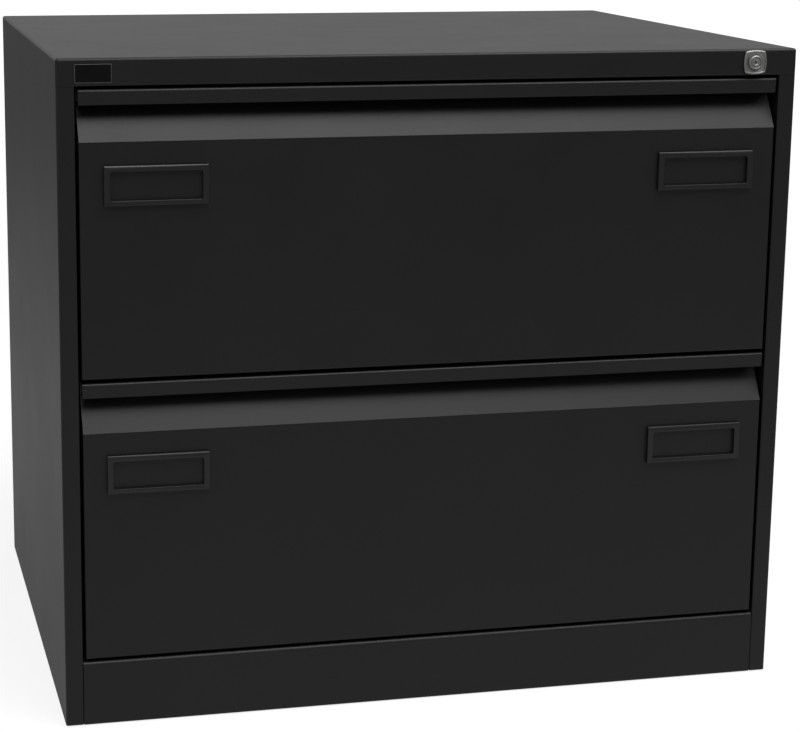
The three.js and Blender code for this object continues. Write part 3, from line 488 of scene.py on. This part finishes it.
# Drawer boxes: 0.8 mm steel, folded and welded, with upturned lips that the file hooks hang on.
# The floor has four pressed beads, and a trough down the middle gives each lane its second rail.
BOX_SHEET, BOX_HALF = 0.8, 368.0
BOX_FLOOR, BOX_FRONT, BOX_REAR = 12.0, 26.4, 580.9
FRONT_TALL = 300.25
HANG_DROP, HANG_X, HANG_LIP = 33.0, 341.4, 8.0
INNER_FACE, INNER_DROP = 25.7, 4.0
BOX_RETURN = 12.0
WALL_REAR = 582.0
FLOOR_HALF, FLOOR_RISE = 365.3, 1.5
BEADS, BEAD_FOOT, BEAD_CROWN, BEAD_RISE = 4, 13.0, 10.0, 3.0
REAR_Y, REAR_HALF, REAR_STEP = 581.6, 366.9, 2.4
REAR_TAB_HALF, REAR_TAB_RISE = 340.3, 10.4
TROUGH_HALF, TROUGH_LIP = 11.0, 6.6
for drawer, bottom in DRAWERS.items():
    body = drawer + "_drawer"
    box_floor = bottom + BOX_FLOOR
    hang = bottom + FRONT_TALL - HANG_DROP
    inner_head = bottom + FRONT_TALL - INNER_DROP
    inner = folded([(INNER_FACE, box_floor), (INNER_FACE, inner_head), (INNER_FACE + BOX_RETURN, inner_head)],
                   "x", (-BOX_HALF, BOX_HALF), BEND)
    add_piece(body + "_inner_panel", inner, body, [body + "_inner_front"], powder_coat,
              BOX_SHEET)
    wall_x = BOX_HALF - BOX_SHEET / 2
    wall_foot = box_floor + BOX_SHEET / 2
    for side in ("right", "left"):
        wall = folded([(wall_x - BOX_RETURN, wall_foot), (wall_x, wall_foot), (wall_x, hang), (HANG_X, hang),
                       (HANG_X, hang + HANG_LIP)], "y", (BOX_FRONT, WALL_REAR), BEND)
        add_piece(f"{body}_{side}_wall", wall, body, [f"{body}_{side}_side"], powder_coat,
                  BOX_SHEET, mirrored=side == "left")
    level = box_floor + FLOOR_RISE
    section = [(-FLOOR_HALF, level)]
    for i in range(BEADS):
        centre = -FLOOR_HALF + 2 * FLOOR_HALF / BEADS * (i + 0.5)
        section += [(centre - BEAD_FOOT, level), (centre - BEAD_CROWN, level + BEAD_RISE),
                    (centre + BEAD_CROWN, level + BEAD_RISE), (centre + BEAD_FOOT, level)]
    section.append((FLOOR_HALF, level))
    floor_sheet = folded(section, "y", (BOX_FRONT, BOX_REAR), BEND)
    add_piece(body + "_floor", floor_sheet, body, [body + "_bottom"], powder_coat, BOX_SHEET)
    rear = folded([(REAR_Y, box_floor + REAR_STEP), (REAR_Y, hang - REAR_STEP)], "x",
                  (-REAR_HALF, REAR_HALF), BEND)
    cut(rear, "x", (-REAR_TAB_HALF, REAR_TAB_HALF))
    tab = free_edges(rear, lambda x, y, z: z > hang - REAR_STEP - SLACK and abs(x) < REAR_TAB_HALF + SLACK)
    pull(rear, tab, (0.0, 0.0, REAR_TAB_RISE))
    tab_head = free_edges(rear, lambda x, y, z: z > hang - REAR_STEP + REAR_TAB_RISE - SLACK)
    flange(rear, tab_head, (0.0, -BOX_RETURN, 0.0), BEND)
    add_piece(body + "_rear_wall", rear, body, [body + "_back"], powder_coat, BOX_SHEET)
    trough = folded([(-TROUGH_HALF, hang + TROUGH_LIP), (-TROUGH_HALF, hang), (TROUGH_HALF, hang),
                     (TROUGH_HALF, hang + TROUGH_LIP)], "y", (BOX_FRONT, BOX_REAR), BEND)
    add_piece(body + "_middle_trough", trough, body, [body + "_centre_rail"], powder_coat,
              BOX_SHEET)

# Drawer fronts: one sheet each, folded from the hemmed lip over the finger pocket and down the slope
# to the flat face, with returns along the bottom and both sides. The lip leans forward a little, and
# the slope catches the light from above.
FRONT_HALF = 378.0
LIP_TALL, LIP_LEAN, LIP_HEM, LIP_FOLD = 16.0, 1.4, 2.9, 2.4
PULL_TALL, PULL_DEEP, PULL_ANGLE = 54.0, 24.0, 31.0
FOOT_RETURN, END_RETURN = 22.5, 24.0
front_end = FRONT_HALF - SHEET / 2
pocket = FACE + PULL_DEEP
for drawer, bottom in DRAWERS.items():
    body = drawer + "_drawer"
    crest = bottom + FRONT_TALL
    lip_foot = crest - LIP_TALL
    fold_line = crest - SHEET / 2
    slope_foot = crest - PULL_TALL
    slope_head = slope_foot + PULL_DEEP / math.tan(math.radians(PULL_ANGLE))
    face_foot = bottom + SHEET / 2
    hem = FACE + LIP_LEAN
    front = folded([(hem + LIP_HEM, lip_foot), (hem, lip_foot), (FACE, fold_line), (pocket, fold_line),
                    (pocket, slope_head), (FACE, slope_foot), (FACE, face_foot),
                    (FACE + FOOT_RETURN, face_foot)], "x", (-front_end, front_end), BEND, soft={2: LIP_FOLD})
    face_ends = free_edges(front, lambda x, y, z: on_face(y) and face_foot < z < slope_foot + SHEET / 2)
    end_returns(front, face_ends, END_RETURN, BEND)
    add_piece(body + "_face", front, body, [body + "_front"], powder_coat, SHEET)

# Label frames: black ABS mouldings with a chamfered rim, clipped to the face of each drawer.
# The moulding is a shade greyer than the paint, and its chamfers catch a thin line of light.
label_abs, moulded = start_finish("moulded_black_abs")
moulded.inputs["IOR"].default_value = 1.5
place = add_node(label_abs, "TexCoord", {}, {})
grain = add_node(label_abs, "TexNoise", {"Scale": 1 / 0.0012, "Detail": 2.0},
                 {"Vector": place.outputs["Object"]})
tone = add_node(label_abs, "ValToRGB", {"stops": {0.3: "#1c1c1c", 0.7: "#232323"}},
                {"Fac": grain.outputs["Fac"]})
dull = add_node(label_abs, "MapRange", {"To Min": 0.27, "To Max": 0.34}, {"Value": grain.outputs["Fac"]})
bump = add_node(label_abs, "Bump", {"Strength": 0.07, "Distance": 0.00004}, {"Height": grain.outputs["Fac"]})
feed(label_abs, moulded, {"Base Color": tone.outputs["Color"], "Roughness": dull.outputs["Result"],
                          "Normal": bump.outputs["Normal"]})

LABEL_IN, LABEL_OUT, LABEL_HALF = 245.0, 353.0, 20.5
LABEL_DROP = 98.0
LABEL_FACE, LABEL_THICK = -4.5, 4.2
LABEL_RIM, LABEL_FOOT, WINDOW_CORNER = 6.0, 5.0, 2.6
TOP_FACET, TOP_SETBACK = 2.0, 1.2
SILL_FACET, SILL_SETBACK = 1.2, 0.45


def ring(mesh, across, up, y):
    corners = [(across[0], y, up[0]), (across[1], y, up[0]), (across[1], y, up[1]), (across[0], y, up[1])]
    verts = [mesh.verts.new(corner) for corner in corners]
    return [mesh.edges.new((verts[i], verts[(i + 1) % 4])) for i in range(4)]


def thicken(mesh, faces, reach):
    grown = bmesh.ops.extrude_face_region(mesh, geom=faces)["geom"]
    bmesh.ops.translate(mesh, vec=(0.0, reach, 0.0), verts=points(grown))


for drawer, bottom in DRAWERS.items():
    centre = bottom + FRONT_TALL - LABEL_DROP
    head, sill = centre + LABEL_HALF, centre - LABEL_HALF + LABEL_FOOT
    for side, sign in (("left", -1.0), ("right", 1.0)):
        across = sorted((sign * LABEL_OUT, sign * LABEL_IN))
        window = across[0] + LABEL_RIM, across[1] - LABEL_RIM
        label = bmesh.new()
        outline = ring(label, across, (centre - LABEL_HALF, head), LABEL_FACE)
        inside = ring(label, window, (sill, head - LABEL_RIM), LABEL_FACE)
        corners = [edge.verts[0] for edge in inside]
        bmesh.ops.bevel(label, geom=corners, offset=WINDOW_CORNER, offset_type="OFFSET", segments=4,
                        profile=0.5, affect="VERTICES", material=-1)
        inside = [edge for edge in label.edges if edge not in outline]
        thicken(label, bmesh.ops.bridge_loops(label, edges=outline + inside)["faces"], LABEL_THICK)
        bmesh.ops.recalc_face_normals(label, faces=label.faces)
        cut(label, "z", (head - TOP_FACET, sill - SILL_FACET))
        for v in label.verts:
            for height, setback in ((head, TOP_SETBACK), (sill, SILL_SETBACK)):
                if v.co.y < LABEL_FACE + SLACK and abs(v.co.z - height) < SLACK:
                    v.co.y += setback
        add_piece(f"{drawer}_{side}_label_frame", label, drawer + "_drawer",
                  [f"{drawer}_{side}_label_holder"], label_abs, edge=0.35)

# Lock: a nickel-plated die casting with a raised rim, a turned collar and a plug with a keyway.
# Its barrel passes through the front rail, and a nut behind holds it. The plating is satin and streaky.
lock_nickel, plated = start_finish("satin_nickel_plate")
plated.inputs["Metallic"].default_value = 1.0
place = add_node(lock_nickel, "TexCoord", {}, {})
streak = add_node(lock_nickel, "TexNoise", {"Scale": 1 / 0.0015, "Detail": 3.0},
                  {"Vector": place.outputs["Object"]})
tone = add_node(lock_nickel, "ValToRGB", {"stops": {0.3: "#929291", 0.7: "#aeaeac"}},
                {"Fac": streak.outputs["Fac"]})
satin = add_node(lock_nickel, "MapRange", {"To Min": 0.4, "To Max": 0.52}, {"Value": streak.outputs["Fac"]})
feed(lock_nickel, plated, {"Base Color": tone.outputs["Color"], "Roughness": satin.outputs["Result"]})

RIM_HALF, RIM_BULGE, RIM_CORNER = 11.5, 1.6, 1.3
RIM_BACK = -0.3
# Steps of the rim's section from its back edge to its dish: how far inward and how far forward
RIM_STEPS = ((0.01, 1.3), (0.12, 0.45), (0.3, 0.42), (0.45, 0.38), (0.5, 0.2), (0.4, 0.0), (0.3, -0.25),
             (0.35, -0.55), (0.2, -0.5))
COLLAR, FIT = 8.4, 0.1
rim = bmesh.new()
sides = ring(rim, (LOCK_X - RIM_HALF, LOCK_X + RIM_HALF), (LOCK_Z - RIM_HALF, LOCK_Z + RIM_HALF), RIM_BACK)
bmesh.ops.subdivide_edges(rim, edges=sides, cuts=15)
outermost = RIM_HALF - SLACK
corners = [v for v in rim.verts if min(abs(v.co.x - LOCK_X), abs(v.co.z - LOCK_Z)) > outermost]
for v in rim.verts:
    x, z = v.co.x - LOCK_X, v.co.z - LOCK_Z
    if abs(x) > outermost:
        v.co.x += math.copysign(RIM_BULGE * (1 - (z / RIM_HALF) ** 2), x)
    if abs(z) > outermost:
        v.co.z += math.copysign(RIM_BULGE * (1 - (x / RIM_HALF) ** 2), z)
bmesh.ops.bevel(rim, geom=corners, offset=RIM_CORNER, offset_type="OFFSET", segments=4, profile=0.5,
                affect="VERTICES", material=-1)
outline = rim.edges[:]
about_lock = Matrix.Translation((-LOCK_X, 0.0, -LOCK_Z))
for inset, rise in RIM_STEPS:
    grown = bmesh.ops.extrude_edge_only(rim, edges=outline)["geom"]
    loop = points(grown)
    outline = [edge for edge in grown if isinstance(edge, bmesh.types.BMEdge)
               and all(v in loop for v in edge.verts)]
    shrink = 1 - inset / (RIM_HALF + RIM_BULGE)
    bmesh.ops.scale(rim, vec=(shrink, 1.0, shrink), space=about_lock, verts=loop)
    bmesh.ops.translate(rim, vec=(0.0, -rise, 0.0), verts=loop)
rim_dish = RIM_BACK - sum(rise for inset, rise in RIM_STEPS)
hole = round_hole(rim, outline, (LOCK_X, rim_dish, LOCK_Z), COLLAR + FIT)
pull(rim, hole, (0.0, RIM_BACK - rim_dish, 0.0))
bmesh.ops.bridge_loops(rim, edges=[edge for edge in rim.edges if edge.is_boundary])
add_piece("lock_rim", rim, "carcass", ["lock_body"], lock_nickel, edge=0.0)

BORE, BARREL_REAR = 5.5, 24.0
COLLAR_PROFILE = ((BORE, -3.4), (5.6, -4.2), (6.0, -4.6), (6.5, -4.55), (7.1, -4.1), (7.6, -3.3), (8.2, -2.3),
                  (COLLAR, -1.2), (COLLAR, -0.2), (BARREL, -0.2), (BARREL, BARREL_REAR), (BORE, BARREL_REAR),
                  (BORE, -3.4))
lock_spot = (LOCK_X, 0.0, LOCK_Z)
collar = turned(COLLAR_PROFILE, lock_spot, "y", 64)
add_piece("lock_barrel", collar, "carcass", [], lock_nickel, edge=0.0)

NUT, NUT_THICK = 11.4, 3.0
nut = bmesh.new()
behind = Matrix.Translation((LOCK_X, SHEET + GAP, LOCK_Z))
bmesh.ops.create_circle(nut, segments=6, radius=NUT, matrix=behind @ Matrix.Rotation(math.pi / 2, 4, "X"))
bmesh.ops.bisect_edges(nut, edges=nut.edges[:], cuts=7)
round_hole(nut, nut.edges[:], behind.translation, BARREL + FIT)
thicken(nut, nut.faces[:], NUT_THICK)
add_piece("lock_nut", nut, "carcass", [], zinc_plate, edge=0.4)

PLUG_DISH = -3.2
PLUG_PROFILE = ((5.25, 24.3), (5.25, -3.85), (5.1, -4.0), (3.3, -4.0), (2.1, PLUG_DISH))
KEYWAY_HALF_WIDE, KEYWAY_HALF_TALL, KEYWAY_DEEP = 0.6, 1.6, 8.0
plug = turned(PLUG_PROFILE, lock_spot, "y", 48)
dish_edge = [edge for edge in plug.edges if edge.is_boundary and edge.verts[0].co.y < 0.0]
keyway = ring(plug, (LOCK_X - KEYWAY_HALF_WIDE, LOCK_X + KEYWAY_HALF_WIDE),
              (LOCK_Z - KEYWAY_HALF_TALL, LOCK_Z + KEYWAY_HALF_TALL), PLUG_DISH)
bmesh.ops.bridge_loops(plug, edges=dish_edge + keyway)
pull(plug, keyway, (0.0, KEYWAY_DEEP, 0.0))
bmesh.ops.holes_fill(plug, edges=plug.edges, sides=60)
add_piece("lock_plug_face", plug, "lock_cylinder", ["lock_plug"], lock_nickel, edge=0.15)

# Locking bar: flat zinc-plated strips behind the right upright. The cam lifts the bar, and its tabs then
# stand in front of a lug on each drawer. All are pressed from strip, with flat faces and square edges.
for node in ("lock_cam", "lock_bar", "lock_bar_guide", "lower_drawer_lock_lug", "upper_drawer_lock_lug"):
    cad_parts[node].data.materials.clear()
    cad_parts[node].data.materials.append(zinc_plate)

# Name plate: a small blank plate of black enamelled aluminium, stuck on the left of the front rail.
# Its edge is bare and polished, so that a thin bright line runs round it.
plate_enamel, enamel = start_finish("black_enamel_plate")
enamel.inputs["IOR"].default_value = 1.35
enamel.inputs["Roughness"].default_value = 0.25
place = add_node(plate_enamel, "TexCoord", {}, {})
haze = add_node(plate_enamel, "TexNoise", {"Scale": 1 / 0.012, "Detail": 2.0},
                {"Vector": place.outputs["Object"]})
tone = add_node(plate_enamel, "ValToRGB", {"stops": {0.3: "#060607", 0.7: "#0a0a0b"}},
                {"Fac": haze.outputs["Fac"]})
feed(plate_enamel, enamel, {"Base Color": tone.outputs["Color"]})

PLATE_SIZE, PLATE_EDGE = (37.2, 0.6, 18.8), 0.3
PLATE_SPOT = (-362.2, -0.35, 695.6)
plate = bmesh.new()
bmesh.ops.create_cube(plate, size=1.0)
bmesh.ops.scale(plate, vec=PLATE_SIZE, verts=plate.verts)
bmesh.ops.translate(plate, vec=PLATE_SPOT, verts=plate.verts)
plate_face = min(plate.faces, key=lambda face: face.calc_center_median().y)
border = bmesh.ops.inset_region(plate, faces=[plate_face], thickness=PLATE_EDGE, use_even_offset=True)
for strip in border["faces"]:
    strip.material_index = 1
name_plate = add_piece("blank_name_plate", plate, "carcass", [], plate_enamel, edge=0.08)
name_plate.data.materials.append(lock_nickel)

# Studio: a matt floor that shows white to the camera and keeps the soft shadow, in a white surround.
# The paint mirrors a dimmer room, bright behind the cabinet and dark in front of it. One broad softbox
# hangs above the front, and a small weak one stands at the left.
floor_mesh = bmesh.new()
bmesh.ops.create_grid(floor_mesh, x_segments=1, y_segments=1, size=30.0)
floor_data = bpy.data.meshes.new("floor")
floor_mesh.to_mesh(floor_data)
floor_mesh.free()
floor = bpy.data.objects.new("floor", floor_data)
bpy.context.scene.collection.objects.link(floor)
floor_paint, sweep = start_finish("white_sweep")
floor_data.materials.append(floor_paint)
sweep.inputs["Base Color"].default_value = linear("#969696")
sweep.inputs["Roughness"].default_value = 0.9
sweep.inputs["Specular IOR Level"].default_value = 0.0
ray = add_node(floor_paint, "LightPath", {}, {})
place = add_node(floor_paint, "TexCoord", {}, {})
distance = add_node(floor_paint, "VectorMath", {"operation": "DISTANCE", 1: (0.0, 0.8, 0.0)},
                    {0: place.outputs["Object"]})
# Painted light: to mirrored rays the floor glows as a painted pool of light, brightest round the cabinet and
# fading outward.
painted_light_pool = add_node(floor_paint, "MapRange", {"From Min": 0.5, "From Max": 4.5, "To Min": 0.32, "To Max": 0.04},
                {"Value": distance.outputs["Value"]})
reflected = add_node(floor_paint, "Math", {"operation": "MULTIPLY"},
                     {0: ray.outputs["Is Glossy Ray"], 1: painted_light_pool.outputs["Result"]})
direct = add_node(floor_paint, "Math", {"operation": "MAXIMUM"},
                  {0: ray.outputs["Is Camera Ray"], 1: ray.outputs["Is Transmission Ray"]})
fade = add_node(floor_paint, "MapRange", {"From Min": 1.5, "From Max": 6.0, "To Min": 0.84, "To Max": 1.0},
                {"Value": distance.outputs["Value"]})
white = add_node(floor_paint, "Math", {"operation": "MULTIPLY"},
                 {0: direct.outputs["Value"], 1: fade.outputs["Result"]})
brightness = add_node(floor_paint, "Math", {"operation": "MAXIMUM"},
                      {0: white.outputs["Value"], 1: reflected.outputs["Value"]})
glow = add_node(floor_paint, "Emission", {}, {"Strength": brightness.outputs["Value"]})
blend = add_node(floor_paint, "AddShader", {}, {0: sweep.outputs["BSDF"], 1: glow.outputs["Emission"]})
feed(floor_paint, floor_paint.node_tree.nodes["Material Output"], {"Surface": blend.outputs["Shader"]})

world = bpy.data.worlds.new("white_surround")
bpy.context.scene.world = world
world.use_nodes = True
ray = add_node(world, "LightPath", {}, {})
place = add_node(world, "TexCoord", {}, {})
heading = add_node(world, "SeparateXYZ", {}, {"Vector": place.outputs["Generated"]})
room = add_node(world, "MapRange", {"From Min": -0.6, "From Max": 0.4, "To Min": 0.06, "To Max": 0.58},
                {"Value": heading.outputs["Y"]})
reflected = add_node(world, "Math", {"operation": "MULTIPLY"},
                     {0: ray.outputs["Is Glossy Ray"], 1: room.outputs["Result"]})
direct = add_node(world, "Math", {"operation": "MAXIMUM"},
                  {0: ray.outputs["Is Camera Ray"], 1: ray.outputs["Is Transmission Ray"]})
seen = add_node(world, "Math", {"operation": "MAXIMUM"},
                {0: direct.outputs["Value"], 1: reflected.outputs["Value"]})
brightness = add_node(world, "Math", {"operation": "MAXIMUM", 1: 0.18}, {0: seen.outputs["Value"]})
surround = world.node_tree.nodes["Background"]
surround.inputs["Color"].default_value = linear("#ffffff")
feed(world, surround, {"Strength": brightness.outputs["Value"]})

for name, size, watts, spot, target in (
        ("overhead_softbox", (6.0, 2.6), 212.0, (1.26, -2.28, 4.75), (0.1, -0.3, 0.5)),
        ("left_softbox", (1.0, 2.2), 7.5, (-3.2, -1.6, 1.6), (0.0, -0.2, 0.5))):
    softbox = bpy.data.lights.new(name, "AREA")
    softbox.shape = "RECTANGLE"
    softbox.size, softbox.size_y = size
    softbox.energy = watts
    lamp = bpy.data.objects.new(name, softbox)
    lamp.location = spot
    lamp.visible_camera = False
    lamp.rotation_euler = (Vector(target) - lamp.location).to_track_quat("-Z", "Y").to_euler()
    bpy.context.scene.collection.objects.link(lamp)

# Camera: a little left of the cabinet and above it, as a catalogue shows such a piece. A long lens keeps
# the uprights nearly parallel, and a small shift keeps the whole cabinet in the picture.
PICTURE_WIDE, FOCAL = 800.0, 2109.6
YAW, PITCH, ROLL = 12.610, 11.647, 0.323
CAMERA_SPOT = (-0.6244, -2.1107 + FRONT_PLANE / METRE, 0.8998)
lens = bpy.data.cameras.new("camera")
lens.sensor_width = 36.0
lens.lens = FOCAL / PICTURE_WIDE * lens.sensor_width
lens.shift_x, lens.shift_y = 0.13, -0.08
camera = bpy.data.objects.new("camera", lens)
yaw, pitch, roll = (math.radians(angle) for angle in (YAW, PITCH, ROLL))
ahead = Vector((math.sin(yaw) * math.cos(pitch), math.cos(yaw) * math.cos(pitch), -math.sin(pitch)))
level_right = Vector((math.cos(yaw), -math.sin(yaw), 0.0))
level_up = level_right.cross(ahead)
rightward = level_right * math.cos(roll) + level_up * math.sin(roll)
upward = level_up * math.cos(roll) - level_right * math.sin(roll)
turn = Matrix((rightward, upward, -ahead)).transposed().to_4x4()
camera.matrix_world = Matrix.Translation(CAMERA_SPOT) @ turn
bpy.context.scene.collection.objects.link(camera)
bpy.context.scene.camera = camera
bpy.context.scene.view_settings.view_transform = "Standard"
